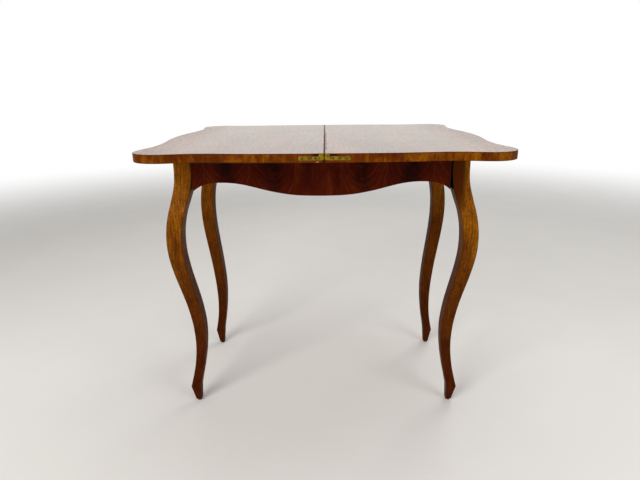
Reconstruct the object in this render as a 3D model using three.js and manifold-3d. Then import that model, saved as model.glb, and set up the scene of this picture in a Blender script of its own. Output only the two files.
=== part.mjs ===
import * as THREE from "three";
import { mergeVertices } from "three/addons/utils/BufferGeometryUtils.js";
import Module from "manifold-3d";

// A fold-over game table. Its top is two leaves on card-table hinges, and it turns a quarter
// on a pivot in the frame, so that the folded top covers the frame and its card well.
// Sizes are in millimetres. X runs along the long side of the frame, Y to the back and
// Z up, with the origin on the floor under the middle of the top, which is shown open.

const wasm = await Module();
wasm.setup();

// Overall
const tableHeight = 740;
const leafWidth = 416;
const leafLength = 773;
const leafThick = 19;

// How far the folded top reaches past the frame: at the front and back, and at the ends
const sideOverhang = 35.5;
const endOverhang = 17.5;

// The middle of the frame, which is not quite under the middle of the open top
const frameMiddleX = -8;
const frameMiddleY = -10;

// Clearances: one for pieces that run or fit together, one overrun for every cut
const fitGap = 0.3;
const overrun = 2;

// Leaf outline: hollows in the long side and in the two ends, and the rounded corners
const sideHollow = 17;
const endHollow = 12;
const endHollowLean = 2.4;
const leafCornerRadius = 60;
const waveSteps = 18;
const cornerSteps = 8;
// run share from the middle of the side to the corner, dip share of the hollow
const sideLineShares = [
  [0, 0],
  [0.05, 0.01],
  [0.14, 0.09],
  [0.28, 0.31],
  [0.45, 0.75],
  [0.58, 0.95],
  [0.69, 1],
  [0.77, 0.91],
  [0.85, 0.59],
  [0.92, 0.31],
  [0.96, 0.22],
  [1, 0.19],
];

// Veneer and banding
const topVeneer = 1;
const outerVeneer = 1;
const bandingThick = 1.5;

// Card-table hinges
const pinDepth = 2.6;
const pinRadius = 1.1;
const linkThick = 2;
const strapThick = 3;
const strapReach = 54;
const strapDrop = 6;
const strapHeight = 8.2;
const lobeWidth = 11.5;
const strapEndRadius = 3;
const strapRecess = 0.2;
const strapScrewShares = [0.34, 0.59, 0.84];
const hingeScrewRadius = 1.5;
const hingeScrewHead = 2.7;
const hingeScrewHeadDepth = 1.6;
const hingeScrewLength = 15;
const roundSteps = 16;
const seamSteps = 6;

// Legs: line of the outer face and thickness, from the top of the post to the sole
const postSize = 44;
const kneeBow = 28.5;
const soleSize = 16;
const soleOut = 1;
const glideHeight = 5;
const glideRadius = 8;
const glideFaceRadius = 6;
const legSteps = 44;
// height share of the frame's height, bow share of the knee, thickness share of the post
const legLineShares = [
  [1, 0, 1],
  [0.93, 0.01, 1],
  [0.89, 0.07, 1],
  [0.86, 0.21, 0.99],
  [0.82, 0.46, 0.95],
  [0.78, 0.72, 0.92],
  [0.73, 0.93, 0.91],
  [0.675, 1, 0.905],
  [0.62, 0.92, 0.89],
  [0.557, 0.68, 0.86],
  [0.487, 0.33, 0.82],
  [0.418, 0, 0.78],
  [0.348, -0.24, 0.74],
  [0.299, -0.33, 0.7],
  [0.25, -0.35, 0.65],
  [0.202, -0.28, 0.61],
  [0.153, -0.12, 0.585],
  [0.104, 0.14, 0.59],
  [0.072, 0.34, 0.62],
];

// Aprons
const apronSetback = 1;
const apronVeneer = 1.5;
const apronCoreThick = 18.5;
const apronDepth = 114;
const apronRise = 35;
const apronShrinkGap = 1.4;
const tenonThick = 8;
const tenonLength = 25;
const tenonShoulder = 10;
const tenonHeight = 60;
const apronSteps = 48;
// run share of the half length, rise share of the arch
const apronLineShares = [
  [0, 0],
  [0.15, 0.03],
  [0.25, 0.11],
  [0.34, 0.25],
  [0.43, 0.43],
  [0.52, 0.65],
  [0.61, 0.85],
  [0.7, 0.97],
  [0.78, 1],
  [0.86, 0.96],
  [0.93, 0.8],
  [1, 0.4],
];

// Pivot
const railThick = 25;
const railHousing = 6;
const boltRadius = 6;
const boltHeadRadius = 12;
const boltHeadThick = 3;
const boltTail = 4;
const plateSize = 70;
const plateThick = 3;
const plateScrewInset = 10;
const plateScrewRadius = 2;
const plateScrewHead = 3.8;
const plateScrewHeadDepth = 2;
const plateScrewLength = 13;
const washerRadius = 15;
const washerThick = 2;
const nutAcross = 19;
const nutThick = 9;
const stopReach = 60;
const stopWidth = 18;
const stopThick = 10;
const stopHeight = 22;

// Card well and glue blocks
const wellDepth = 55;
const wellBottomThick = 8;
const ledgeWidth = 12;
const ledgeHeight = 10;
const partitionThick = 12;
const glueBlockSize = 20;
const glueBlockHeight = 50;

// Heights and places that follow. The pivot is where a quarter turn brings the folded
// top over the middle of the frame. It is given from the top's middle, and the rail's
// place from the frame's middle. The stop meets the rear apron with the table open, and
// the rail is as wide as lets the stop meet it with the table closed.
const frameWidth = leafLength - 2 * endOverhang;
const frameDepth = leafWidth - 2 * sideOverhang;
const leafUnder = tableHeight - leafThick;
const frameTop = leafUnder - fitGap;
const pinZ = tableHeight - pinDepth;
const seamFaceX = fitGap / 2;
const pinX = seamFaceX + pinDepth;
const linkRadius = pinDepth - fitGap;
const linkSlotRun = 2 * pinX * (Math.SQRT2 - 1);
const linkReach = linkSlotRun + linkRadius;
const postOuterX = frameWidth / 2;
const postOuterY = frameDepth / 2;
const postInnerX = postOuterX - postSize;
const postInnerY = postOuterY - postSize;
const apronInset = apronSetback + apronVeneer;
const apronInnerX = postOuterX - apronInset - apronCoreThick;
const apronInnerY = postOuterY - apronInset - apronCoreThick;
const pivotX = (leafWidth / 2 + frameMiddleY + frameMiddleX) / 2;
const pivotY = (leafWidth / 2 + frameMiddleY - frameMiddleX) / 2;
const railX = pivotX - frameMiddleX;
const railBoreY = pivotY - frameMiddleY;
const stopOuter = apronInnerY - fitGap - railBoreY;
const stopInner = stopOuter - stopThick;
const railWidth = 2 * (stopInner - fitGap);
const partitionRight = railX - washerRadius - fitGap;
const railBottom = frameTop - railThick;
const wellFloor = frameTop - wellDepth;
const strapOuterY = leafLength / 2 - strapRecess;
const strapInnerY = strapOuterY - strapThick;
const linkOuterY = strapInnerY - fitGap;
const linkInnerY = linkOuterY - linkThick;

// Colours
const finish = {
  field: { color: 0x7d4a2c, roughness: 0.32, metalness: 0 },
  banding: { color: 0xa8683a, roughness: 0.38, metalness: 0 },
  core: { color: 0xb08b5c, roughness: 0.8, metalness: 0 },
  crotch: { color: 0x5a2a19, roughness: 0.35, metalness: 0 },
  walnut: { color: 0x7a4a28, roughness: 0.45, metalness: 0 },
  brass: { color: 0xa8843f, roughness: 0.35, metalness: 1 },
  iron: { color: 0x3a3634, roughness: 0.5, metalness: 1 },
};

// Solids and geometry

function withoutSlivers(geometry) {
  const bare = geometry.clone();
  bare.deleteAttribute("normal");
  bare.deleteAttribute("uv");
  const merged = mergeVertices(bare);
  const kept = [];
  for (let i = 0; i < merged.index.count; i += 3) {
    const [a, b, c] = [0, 1, 2].map((k) => merged.index.getX(i + k));
    if (a !== b && b !== c && c !== a) kept.push(a, b, c);
  }
  merged.setIndex(kept);
  return merged;
}

function toSolid(geometry) {
  const clean = withoutSlivers(geometry);
  const vertProperties = clean.attributes.position.array;
  const triVerts = new Uint32Array(clean.index.array);
  return new wasm.Manifold(new wasm.Mesh({ numProp: 3, vertProperties, triVerts }));
}

function toGeometry(solid) {
  const mesh = solid.getMesh();
  const geometry = new THREE.BufferGeometry();
  geometry.setAttribute("position", new THREE.BufferAttribute(mesh.vertProperties, 3));
  geometry.setIndex(new THREE.BufferAttribute(mesh.triVerts, 1));
  return geometry;
}

function cut(geometry, cutters) {
  const left = cutters.reduce((solid, cutter) => solid.subtract(toSolid(cutter)), toSolid(geometry));
  return toGeometry(left);
}

function joined(geometries) {
  const [first, ...others] = geometries.map(toSolid);
  return toGeometry(others.reduce((solid, other) => solid.add(other), first));
}

function common(first, second) {
  return toGeometry(toSolid(first).intersect(toSolid(second)));
}

// The same shape on another side of the table: each side is 1 or -1
function mirrored(geometry, sideX, sideY) {
  const copy = withoutSlivers(geometry);
  copy.scale(sideX, sideY, 1);
  if (sideX * sideY < 0) {
    const index = copy.index;
    for (let i = 0; i < index.count; i += 3) {
      const second = index.getX(i + 1);
      index.setX(i + 1, index.getX(i + 2));
      index.setX(i + 2, second);
    }
  }
  return copy;
}

// A unit depth is stretched to the two given planes, so faces that meet share exact values
function placed(geometry, place) {
  const points = geometry.attributes.position;
  for (let i = 0; i < points.count; i += 1) {
    points.setXYZ(i, ...place(points.getX(i), points.getY(i), points.getZ(i)));
  }
  geometry.deleteAttribute("normal");
  geometry.deleteAttribute("uv");
  return geometry;
}

function block([x0, x1], [y0, y1], [z0, z1]) {
  const place = (x, y, z) => [x < 0 ? x0 : x1, y < 0 ? y0 : y1, z < 0 ? z0 : z1];
  return placed(new THREE.BoxGeometry(1, 1, 1), place);
}

function unitExtrusion(points, holes = []) {
  const shape = new THREE.Shape(points);
  shape.holes = holes.map((hole) => new THREE.Path(hole));
  return new THREE.ExtrudeGeometry(shape, { depth: 1, bevelEnabled: false });
}

function extrudedUp(points, [z0, z1], holes) {
  return placed(unitExtrusion(points, holes), (x, y, depth) => [x, y, depth > 0 ? z1 : z0]);
}

function extrudedBack(points, [y0, y1], holes) {
  return placed(unitExtrusion(points, holes), (x, z, depth) => [x, depth > 0 ? y0 : y1, z]);
}

function extrudedAcross(points, [x0, x1], holes) {
  return placed(unitExtrusion(points, holes), (y, z, depth) => [depth > 0 ? x1 : x0, y, z]);
}

function arc(centreX, centreY, radius, fromTurn, toTurn, steps) {
  const points = [];
  for (let i = 0; i <= steps; i += 1) {
    const angle = 2 * Math.PI * (fromTurn + ((toTurn - fromTurn) * i) / steps);
    const x = centreX + radius * Math.cos(angle);
    points.push(new THREE.Vector2(x, centreY + radius * Math.sin(angle)));
  }
  return points;
}

function circle(centreX, centreY, radius, steps = roundSteps) {
  return arc(centreX, centreY, radius, 0, 1, steps).slice(1);
}

function along(points) {
  return points.map(([x, y]) => new THREE.Vector2(x, y));
}

function named(name, geometry, look) {
  const mesh = new THREE.Mesh(geometry, new THREE.MeshStandardMaterial(look));
  mesh.name = name;
  return mesh;
}

// A countersunk screw along Z with its head's face at z = 0 and its tip at z = length
function screwShape(length, shankRadius, headRadius, headDepth) {
  const tip = length - 2 * shankRadius;
  const profile = along([
    [0, 0],
    [headRadius, 0],
    [shankRadius, headDepth],
    [shankRadius, tip],
    [0, length],
  ]);
  return new THREE.LatheGeometry(profile, roundSteps).rotateX(Math.PI / 2);
}

// Leaves

// The quarter of a leaf's outline from the seam round to the middle of the long side
function leafQuarter(inset) {
  const endY = leafLength / 2 - inset;
  const sideX = leafWidth - inset;
  const radius = leafCornerRadius - inset;
  const sideRun = endY - radius;
  const side = sideLineShares.map(([run, dip]) => [sideX - dip * sideHollow, run * sideRun]);
  const sideLine = new THREE.SplineCurve(along(side)).getPoints(waveSteps).reverse();
  const endRun = sideLine[0].x - radius;
  const endLine = [];
  for (let i = 0; i <= waveSteps; i += 1) {
    const share = i / waveSteps;
    const dip = Math.sin(Math.PI * share ** endHollowLean) ** 2;
    endLine.push(new THREE.Vector2(seamFaceX + share * (endRun - seamFaceX), endY - endHollow * dip));
  }
  const corner = arc(endRun, sideRun, radius, 1 / 4, 0, cornerSteps);
  return [...endLine, ...corner.slice(1), ...sideLine.slice(1)];
}

function leafOutline(inset) {
  const back = leafQuarter(inset);
  const front = back.slice(0, -1).map((point) => new THREE.Vector2(point.x, -point.y));
  return [...front, ...back.slice().reverse()];
}

function bandingOutline() {
  return [...leafOutline(0), ...leafOutline(bandingThick).reverse()];
}

// The seam's top edge is rounded about the hinge pin, so that the leaves roll past each other
function seamRelief() {
  const points = [
    new THREE.Vector2(seamFaceX - overrun, pinZ),
    ...arc(pinX, pinZ, pinDepth, 1 / 2, 1 / 4, seamSteps),
    ...along([
      [pinX, tableHeight + overrun],
      [seamFaceX - overrun, tableHeight + overrun],
    ]),
  ];
  const end = leafLength / 2 + overrun;
  return extrudedBack(points, [-end, end]);
}

function strapScrewPlaces() {
  const z = tableHeight - strapDrop - strapHeight / 2;
  return strapScrewShares.map((share) => [share * strapReach, z]);
}

// Everything that the hinge at the back needs cut out of a leaf
function hingeCuts() {
  const strapTop = tableHeight - strapDrop;
  const strapBottom = strapTop - strapHeight;
  const depth = [strapInnerY - fitGap, leafLength / 2 + overrun];
  const strapBed = block(
    [seamFaceX - overrun, strapReach + fitGap],
    depth,
    [strapBottom - fitGap, strapTop + fitGap],
  );
  const lobeBed = block(
    [seamFaceX - overrun, lobeWidth + fitGap],
    depth,
    [strapBottom - fitGap, tableHeight + overrun],
  );
  const linkSlot = block(
    [seamFaceX - overrun, pinX + linkReach + fitGap],
    [linkInnerY - fitGap, leafLength / 2],
    [pinZ - linkReach - fitGap, tableHeight + overrun],
  );
  const screwHoles = strapScrewPlaces().map(([x, z]) => {
    const hole = circle(x, z, hingeScrewRadius + fitGap);
    return extrudedBack(hole, [strapOuterY - hingeScrewLength - fitGap, leafLength / 2]);
  });
  return [strapBed, lobeBed, linkSlot, ...screwHoles];
}

function leafCuts() {
  const back = hingeCuts();
  const front = back.map((cutter) => mirrored(cutter, 1, -1));
  return [seamRelief(), ...back, ...front];
}

// Everything that the pivot needs cut out of the underside of the lower leaf
function pivotCuts() {
  const half = plateSize / 2 + fitGap;
  const plateTop = leafUnder + plateThick;
  const plateBed = block(
    [pivotX - half, pivotX + half],
    [pivotY - half, pivotY + half],
    [leafUnder - overrun, plateTop + fitGap],
  );
  const headBed = extrudedUp(
    circle(pivotX, pivotY, boltHeadRadius + fitGap),
    [leafUnder, plateTop + boltHeadThick + 2 * fitGap],
  );
  const screwHoles = plateScrewPlaces().map(([x, y]) => {
    const hole = circle(x, y, plateScrewRadius + fitGap);
    return extrudedUp(hole, [leafUnder, leafUnder + plateScrewLength + fitGap]);
  });
  return [plateBed, headBed, ...screwHoles];
}

function leafParts(name, side) {
  const cuts = leafCuts();
  const isLower = side > 0;
  const under = isLower ? leafUnder : leafUnder + outerVeneer;
  const over = tableHeight - topVeneer;
  const place = (geometry) => mirrored(geometry, side, 1);
  const core = extrudedUp(leafOutline(bandingThick + fitGap), [under, over]);
  const banding = extrudedUp(bandingOutline(), [under, over]);
  const veneer = extrudedUp(leafOutline(0), [over, tableHeight]);
  const parts = [
    named(`${name}_core`, place(cut(core, isLower ? [...cuts, ...pivotCuts()] : cuts)), finish.core),
    named(`${name}_banding`, place(cut(banding, cuts)), finish.banding),
    named(`${name}_playing_veneer`, place(cut(veneer, cuts)), finish.field),
  ];
  if (!isLower) {
    const outer = extrudedUp(leafOutline(0), [leafUnder, under]);
    parts.push(named(`${name}_outer_veneer`, place(outer), finish.field));
  }
  return parts;
}

// Card-table hinges

function strapOutline() {
  const strapTop = tableHeight - strapDrop;
  const strapBottom = strapTop - strapHeight;
  const turnX = strapReach - strapEndRadius;
  return [
    new THREE.Vector2(seamFaceX, strapBottom),
    ...arc(turnX, strapBottom + strapEndRadius, strapEndRadius, 3 / 4, 1, seamSteps),
    ...arc(turnX, strapTop - strapEndRadius, strapEndRadius, 0, 1 / 4, seamSteps),
    ...along([
      [lobeWidth, strapTop],
      [lobeWidth, tableHeight],
    ]),
    ...arc(pinX, pinZ, pinDepth, 1 / 4, 1 / 2, seamSteps),
  ];
}

function hingeStrap() {
  const pinHole = circle(pinX, pinZ, pinRadius + fitGap);
  const strap = extrudedBack(strapOutline(), [strapInnerY, strapOuterY], [pinHole]);
  const headHoles = strapScrewPlaces().map(([x, z]) => {
    const clear = hingeScrewLength + fitGap;
    const hole = screwShape(clear, hingeScrewRadius + fitGap, hingeScrewHead + fitGap, hingeScrewHeadDepth);
    return hole.rotateX(Math.PI / 2).translate(x, strapOuterY, z);
  });
  return cut(strap, headHoles);
}

function hingeScrews() {
  return strapScrewPlaces().map(([x, z]) => {
    const screw = screwShape(hingeScrewLength, hingeScrewRadius, hingeScrewHead, hingeScrewHeadDepth);
    return screw.rotateX(Math.PI / 2).translate(x, strapOuterY, z);
  });
}

function hingePin() {
  return extrudedBack(circle(pinX, pinZ, pinRadius), [linkInnerY, strapOuterY]);
}

// A bar with rounded ends, from one X to another at the height of the pins
function linkBar(fromX, toX, radius) {
  return [
    ...arc(toX, pinZ, radius, -1 / 4, 1 / 4, roundSteps / 2),
    ...arc(fromX, pinZ, radius, 1 / 4, 3 / 4, roundSteps / 2),
  ];
}

// The leaf folds about a line as far above the pins as they are from the seam. The link
// turns half as far about the lower leaf's pin, and the other pin runs along its slot.
function hingeLink() {
  const farX = -pinX - linkSlotRun;
  const eye = circle(pinX, pinZ, pinRadius + fitGap);
  const slot = linkBar(farX, -pinX, pinRadius + fitGap);
  return extrudedBack(linkBar(farX, pinX, linkRadius), [linkInnerY, linkOuterY], [eye, slot]);
}

const hingeEnds = [
  ["rear", 1],
  ["front", -1],
];

function hingeParts(name, side) {
  return hingeEnds.flatMap(([place, end]) => {
    const hinge = `${name}_${place}_hinge`;
    const screws = hingeScrews().map((screw, i) =>
      named(`${hinge}_screw_${i + 1}`, mirrored(screw, side, end), finish.iron),
    );
    return [
      named(`${hinge}_strap`, mirrored(hingeStrap(), side, end), finish.brass),
      named(`${hinge}_pin`, mirrored(hingePin(), side, end), finish.iron),
      ...screws,
    ];
  });
}

function linkParts() {
  return hingeEnds.map(([place, end]) =>
    named(`${place}_hinge_link`, mirrored(hingeLink(), 1, end), finish.brass),
  );
}

// Legs

// Side view of a leg, with u the distance outward from the post's outer face
function legProfile() {
  const outer = legLineShares.map(([height, bow]) => [bow * kneeBow, height * frameTop]);
  const inner = legLineShares.map(([height, bow, thick]) => [
    bow * kneeBow - thick * postSize,
    height * frameTop,
  ]);
  const outerLine = new THREE.SplineCurve(along(outer)).getPoints(legSteps);
  const innerLine = new THREE.SplineCurve(along(inner)).getPoints(legSteps);
  const sole = along([
    [soleOut, glideHeight],
    [soleOut - soleSize, glideHeight],
  ]);
  return [...outerLine, ...sole, ...innerLine.reverse()];
}

// Sawn from the square along two faces, as a cabriole leg is, and mortised for two aprons
function legShape() {
  const profile = legProfile();
  const half = postSize + kneeBow;
  const alongX = profile.map((point) => new THREE.Vector2(postOuterX + point.x, point.y));
  const alongY = profile.map((point) => new THREE.Vector2(postOuterY + point.x, point.y));
  const sawnOnce = extrudedBack(alongX, [postOuterY - half, postOuterY + half]);
  const sawnTwice = extrudedAcross(alongY, [postOuterX - half, postOuterX + half]);
  const fromX = longTenon(fitGap);
  const fromY = shortTenon(fitGap);
  return cut(common(sawnOnce, sawnTwice), [fromX, fromY]);
}

function soleCentre(postOuter) {
  return postOuter + soleOut - soleSize / 2;
}

function glideShape() {
  const profile = along([
    [0, 0],
    [glideFaceRadius, 0],
    [glideRadius, glideHeight],
    [0, glideHeight],
  ]);
  const glide = new THREE.LatheGeometry(profile, roundSteps).rotateX(Math.PI / 2);
  return glide.translate(soleCentre(postOuterX), soleCentre(postOuterY), 0);
}

const corners = [
  ["front_left", -1, -1],
  ["front_right", 1, -1],
  ["rear_left", -1, 1],
  ["rear_right", 1, 1],
];

function legParts() {
  const leg = legShape();
  return corners.map(([place, sideX, sideY]) =>
    named(`leg_${place}`, mirrored(leg, sideX, sideY), finish.walnut),
  );
}

function glideParts() {
  const glide = glideShape();
  return corners.map(([place, sideX, sideY]) =>
    named(`glide_${place}`, mirrored(glide, sideX, sideY), finish.iron),
  );
}

// Aprons

function tenonHeights(grow) {
  const top = frameTop - tenonShoulder;
  return [top - tenonHeight - grow, top + grow];
}

// The tenon at the rear right end of a long apron, or grown by a gap, its mortise
function longTenon(grow) {
  const middle = apronInnerY + apronCoreThick / 2;
  const half = tenonThick / 2 + grow;
  const run = [postInnerX - overrun, postInnerX + tenonLength + grow];
  return block(run, [middle - half, middle + half], tenonHeights(grow));
}

function shortTenon(grow) {
  const middle = apronInnerX + apronCoreThick / 2;
  const half = tenonThick / 2 + grow;
  const run = [postInnerY - overrun, postInnerY + tenonLength + grow];
  return block([middle - half, middle + half], run, tenonHeights(grow));
}

// Front view of an apron between two ends, with its lobe in the middle of the full length
function apronOutline(halfLength, from, to) {
  const lobe = frameTop - apronDepth;
  const right = apronLineShares.map(([run, rise]) => [run * halfLength, lobe + rise * apronRise]);
  const left = right.slice(1).reverse().map(([x, z]) => [-x, z]);
  const line = new THREE.SplineCurve(along([...left, ...right])).getPoints(apronSteps);
  const inside = line.filter((point) => point.x > from && point.x < to);
  return [
    new THREE.Vector2(from, line[0].y),
    ...inside,
    ...along([
      [to, line[line.length - 1].y],
      [to, frameTop],
      [from, frameTop],
    ]),
  ];
}

function railHousingCut() {
  const half = railWidth / 2 + fitGap;
  return block(
    [railX - half, railX + half],
    [apronInnerY - overrun, apronInnerY + railHousing + fitGap],
    [railBottom - fitGap, frameTop + overrun],
  );
}

// Built at the back; shrink leaves the joint at one end standing open by that much
function longApron(shrink) {
  const outline = apronOutline(postInnerX, -postInnerX, postInnerX - shrink);
  const board = extrudedBack(outline, [apronInnerY, apronInnerY + apronCoreThick]);
  const tenon = longTenon(0);
  return cut(joined([board, tenon, mirrored(tenon, -1, 1)]), [railHousingCut()]);
}

function shortApron() {
  const outline = apronOutline(postInnerY, -postInnerY, postInnerY);
  const board = extrudedAcross(outline, [apronInnerX, apronInnerX + apronCoreThick]);
  const tenon = shortTenon(0);
  return joined([board, tenon, mirrored(tenon, 1, -1)]);
}

function longVeneer(shrink) {
  const outline = apronOutline(postInnerX, -postInnerX, postInnerX - shrink);
  const inner = apronInnerY + apronCoreThick;
  return extrudedBack(outline, [inner, inner + apronVeneer]);
}

function shortVeneer() {
  const outline = apronOutline(postInnerY, -postInnerY, postInnerY);
  const inner = apronInnerX + apronCoreThick;
  return extrudedAcross(outline, [inner, inner + apronVeneer]);
}

function apronParts() {
  return [
    named("front_apron", mirrored(longApron(apronShrinkGap), 1, -1), finish.core),
    named("rear_apron", longApron(0), finish.core),
    named("left_apron", mirrored(shortApron(), -1, 1), finish.core),
    named("right_apron", shortApron(), finish.core),
    named("front_apron_veneer", mirrored(longVeneer(apronShrinkGap), 1, -1), finish.crotch),
    named("rear_apron_veneer", longVeneer(0), finish.crotch),
    named("left_apron_veneer", mirrored(shortVeneer(), -1, 1), finish.crotch),
    named("right_apron_veneer", shortVeneer(), finish.crotch),
  ];
}

// Pivot

function plateScrewPlaces() {
  const offset = plateSize / 2 - plateScrewInset;
  return [
    [pivotX - offset, pivotY - offset],
    [pivotX + offset, pivotY - offset],
    [pivotX - offset, pivotY + offset],
    [pivotX + offset, pivotY + offset],
  ];
}

function railParts() {
  const end = apronInnerY + railHousing;
  const half = railWidth / 2;
  const bore = extrudedUp(
    circle(railX, railBoreY, boltRadius + fitGap),
    [railBottom - overrun, frameTop + overrun],
  );
  const rail = block([railX - half, railX + half], [-end, end], [railBottom, frameTop]);
  const partition = block(
    [partitionRight - partitionThick, partitionRight],
    [-apronInnerY, apronInnerY],
    [wellFloor, railBottom],
  );
  return [
    named("pivot_rail", cut(rail, [bore]), finish.core),
    named("well_partition", partition, finish.core),
  ];
}

function boltShape() {
  const plateTop = leafUnder + plateThick;
  const nutBottom = railBottom - fitGap - washerThick - fitGap - nutThick;
  const shank = extrudedUp(circle(pivotX, pivotY, boltRadius), [nutBottom - boltTail, plateTop + boltHeadThick]);
  const head = extrudedUp(
    circle(pivotX, pivotY, boltHeadRadius),
    [plateTop + fitGap, plateTop + fitGap + boltHeadThick],
  );
  return joined([shank, head]);
}

// The plate and its four screws are one solid
function plateShape() {
  const half = plateSize / 2;
  const plate = block(
    [pivotX - half, pivotX + half],
    [pivotY - half, pivotY + half],
    [leafUnder, leafUnder + plateThick],
  );
  const bore = extrudedUp(
    circle(pivotX, pivotY, boltRadius + fitGap),
    [leafUnder - overrun, leafUnder + plateThick + overrun],
  );
  const screws = plateScrewPlaces().map(([x, y]) => {
    const screw = screwShape(plateScrewLength, plateScrewRadius, plateScrewHead, plateScrewHeadDepth);
    return screw.translate(x, y, leafUnder);
  });
  return joined([cut(plate, [bore]), ...screws]);
}

function washerShape() {
  const top = railBottom - fitGap;
  const bore = circle(pivotX, pivotY, boltRadius + fitGap);
  return extrudedUp(circle(pivotX, pivotY, washerRadius), [top - washerThick, top], [bore]);
}

function nutShape() {
  const top = railBottom - fitGap - washerThick - fitGap;
  const cornerRadius = nutAcross / Math.sqrt(3);
  const bore = circle(pivotX, pivotY, boltRadius + fitGap);
  return extrudedUp(circle(pivotX, pivotY, cornerRadius, 6), [top - nutThick, top], [bore]);
}

function stopShape() {
  const left = pivotX + stopReach - stopWidth / 2;
  return block(
    [left, left + stopWidth],
    [pivotY + stopInner, pivotY + stopOuter],
    [leafUnder - stopHeight, leafUnder],
  );
}

function pivotParts() {
  return [
    named("pivot_plate", plateShape(), finish.iron),
    named("pivot_bolt", boltShape(), finish.iron),
    named("pivot_washer", washerShape(), finish.iron),
    named("pivot_nut", nutShape(), finish.iron),
    named("swivel_stop", stopShape(), finish.walnut),
  ];
}

// Card well

// The bottom board reaches the left apron, notched round the two posts
function wellBottom() {
  const left = -apronInnerX;
  const notchX = -postInnerX + fitGap;
  const notchY = postInnerY - fitGap;
  const outline = along([
    [partitionRight, -apronInnerY],
    [partitionRight, apronInnerY],
    [notchX, apronInnerY],
    [notchX, notchY],
    [left, notchY],
    [left, -notchY],
    [notchX, -notchY],
    [notchX, -apronInnerY],
  ]);
  return extrudedUp(outline, [wellFloor - wellBottomThick, wellFloor]);
}

function ledgeShape() {
  const top = wellFloor - wellBottomThick;
  return block([-postInnerX, partitionRight], [apronInnerY - ledgeWidth, apronInnerY], [top - ledgeHeight, top]);
}

function wellParts() {
  return [
    named("well_bottom", wellBottom(), finish.core),
    named("well_ledge_rear", ledgeShape(), finish.core),
    named("well_ledge_front", mirrored(ledgeShape(), 1, -1), finish.core),
  ];
}

// A glue block fills the corner between a long apron and a post
function glueBlock() {
  const outline = along([
    [postInnerX, apronInnerY],
    [postInnerX - glueBlockSize, apronInnerY],
    [postInnerX, apronInnerY - glueBlockSize],
  ]);
  return extrudedUp(outline, [frameTop - glueBlockHeight, frameTop]);
}

function glueBlockParts() {
  return corners.map(([place, sideX, sideY]) =>
    named(`glue_block_${place}`, mirrored(glueBlock(), sideX, sideY), finish.core),
  );
}

// The table

function frameGroup() {
  const group = new THREE.Group();
  group.add(...legParts(), ...glideParts(), ...apronParts(), ...railParts(), ...wellParts());
  group.add(...glueBlockParts());
  group.position.set(frameMiddleX, frameMiddleY, 0);
  return group;
}

function topGroup() {
  const group = new THREE.Group();
  group.add(...leafParts("lower_leaf", 1), ...hingeParts("lower_leaf", 1), ...pivotParts());
  group.add(...linkParts());
  group.add(...leafParts("upper_leaf", -1), ...hingeParts("upper_leaf", -1));
  return group;
}

const table = new THREE.Group();
table.add(frameGroup(), topGroup());

export default table;
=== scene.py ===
import math

import bmesh
import bpy
from mathutils import Matrix, Vector


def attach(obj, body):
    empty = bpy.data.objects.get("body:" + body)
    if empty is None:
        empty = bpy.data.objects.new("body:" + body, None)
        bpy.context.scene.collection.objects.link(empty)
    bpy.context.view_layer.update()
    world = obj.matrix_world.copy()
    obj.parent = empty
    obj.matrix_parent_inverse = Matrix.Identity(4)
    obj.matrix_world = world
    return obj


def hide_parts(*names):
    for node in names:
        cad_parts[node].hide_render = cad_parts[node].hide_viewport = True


# Dresses the fold-over game table: the wood, veneer and hinge pieces that show are modelled
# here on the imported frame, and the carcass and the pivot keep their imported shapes.
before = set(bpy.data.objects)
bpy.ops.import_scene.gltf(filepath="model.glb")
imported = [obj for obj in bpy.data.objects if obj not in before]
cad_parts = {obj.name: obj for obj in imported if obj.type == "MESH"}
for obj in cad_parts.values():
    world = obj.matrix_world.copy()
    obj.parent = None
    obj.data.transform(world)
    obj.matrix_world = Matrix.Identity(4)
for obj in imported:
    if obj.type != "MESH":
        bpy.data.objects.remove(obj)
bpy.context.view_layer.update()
bpy.ops.object.select_all(action="DESELECT")
print("frame loaded:", len(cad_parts), "nodes")

mm = 0.001

# sizes that more than one piece uses, in millimetres
table = {
    "height": 740,
    "leafThick": 19,
    "leafWidth": 416,
    "leafLength": 773,
    "gap": 0.3,
    "frameTop": 720.7,
    "frameMiddle": (-8, -10),
    "postOuter": (369, 172.5),
    "postInner": (325, 128.5),
    "apronOuter": (366.5, 170),
    "apronCore": 18.5,
    "veneer": 1,
    "banding": 1.5,
    "pinRadius": 1.1,
    "pinPlace": (2.75, 737.4),
    "pinDepth": 2.6,
    "seamFace": 0.15,
    "overrun": 2,  # how far a cutter runs past what it cuts
    "hair": 0.02,  # how near a point is to a level that it lies on
}
gap = table["gap"]
past = table["overrun"]


def choose(piece):
    bpy.ops.object.select_all(action="DESELECT")
    piece.select_set(True)
    bpy.context.view_layer.objects.active = piece


def put(name, data):
    made = bpy.data.objects.new(name, data)
    bpy.context.collection.objects.link(made)
    return made


def settled(name, turned=False):
    # names the piece just added and applies its place, its size and any turn
    piece = bpy.context.view_layer.objects.active
    piece.name = name
    bpy.ops.object.transform_apply(location=True, rotation=turned, scale=True)
    return piece


def openUp(piece, kind, action):
    choose(piece)
    bpy.ops.object.mode_set(mode="EDIT")
    bpy.ops.mesh.select_mode(type=kind)
    bpy.ops.mesh.select_all(action=action)


def pick(piece, kind, test):
    # opens the piece in edit mode with the faces or edges that pass the test selected
    openUp(piece, kind, "DESELECT")
    work = bmesh.from_edit_mesh(piece.data)
    work.normal_update()
    for part in work.faces if kind == "FACE" else work.edges:
        if test(part):
            part.select_set(True)
    work.select_flush_mode()
    bmesh.update_edit_mesh(piece.data)


def leaveEdit():
    bpy.ops.object.mode_set(mode="OBJECT")


def above(axis, level):
    # a test for edges that lie at or past a level along X, Y or Z, which are 0, 1 and 2
    return lambda edge: all(vert.co[axis] > (level - table["hair"]) * mm for vert in edge.verts)


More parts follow.
